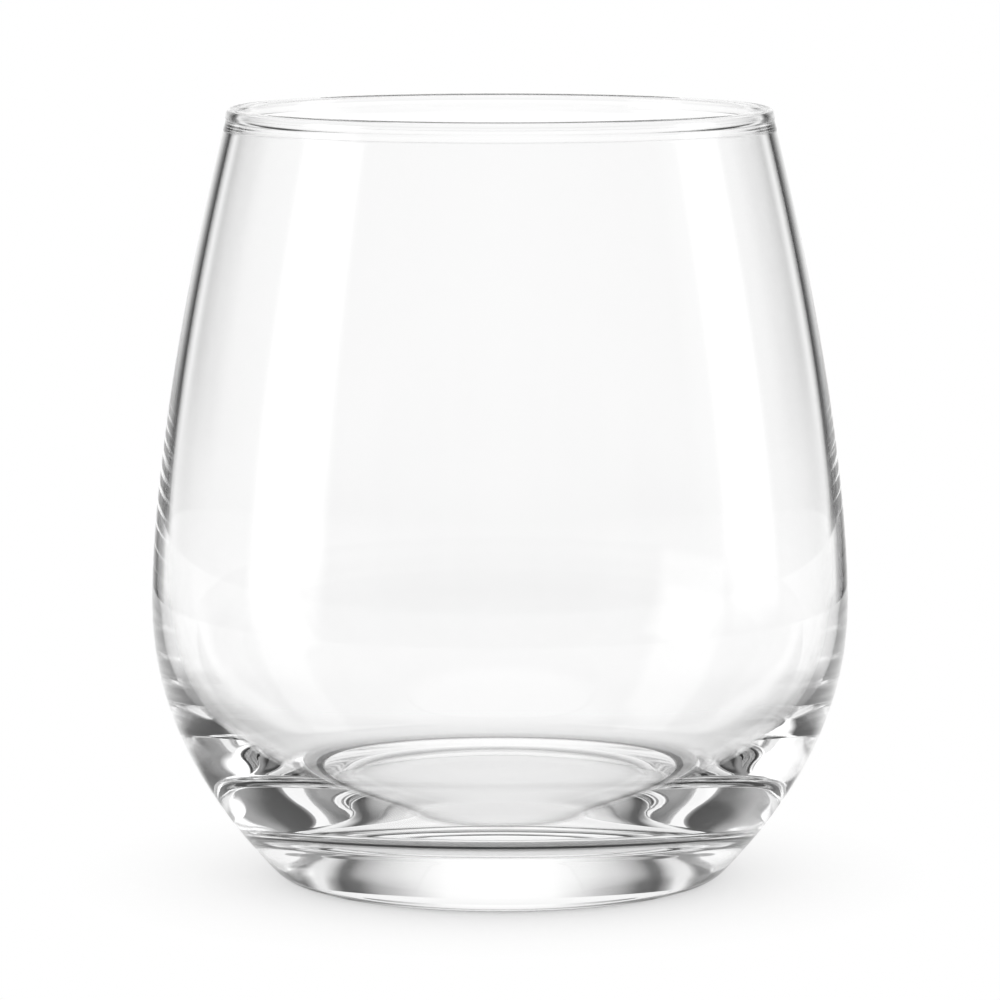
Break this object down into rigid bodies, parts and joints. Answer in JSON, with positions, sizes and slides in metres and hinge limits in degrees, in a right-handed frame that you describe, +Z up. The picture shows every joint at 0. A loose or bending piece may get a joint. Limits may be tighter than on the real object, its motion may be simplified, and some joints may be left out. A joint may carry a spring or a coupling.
{
  "type": "stemless wine glass",
  "caption": "Stemless wine glass in clear glass: a tapered mouth with a rounded rim bead, a wide low belly, a thick base and a shallow punt.",
  "frame": {"origin": "middle of the foot ring, on the table that the glass stands on", "axes": "+Z up along the glass's axis of revolution; X and Y are level and equal, because the glass is round"},
  "size_m": [0.0904, 0.0902, 0.1],
  "materials": {
    "clear_glass": "clear colourless soda-lime glass, fire-polished, no print and no coating"
  },
  "bodies": {
    "root": {"glass_body": "clear_glass"}
  },
  "joints": []
}
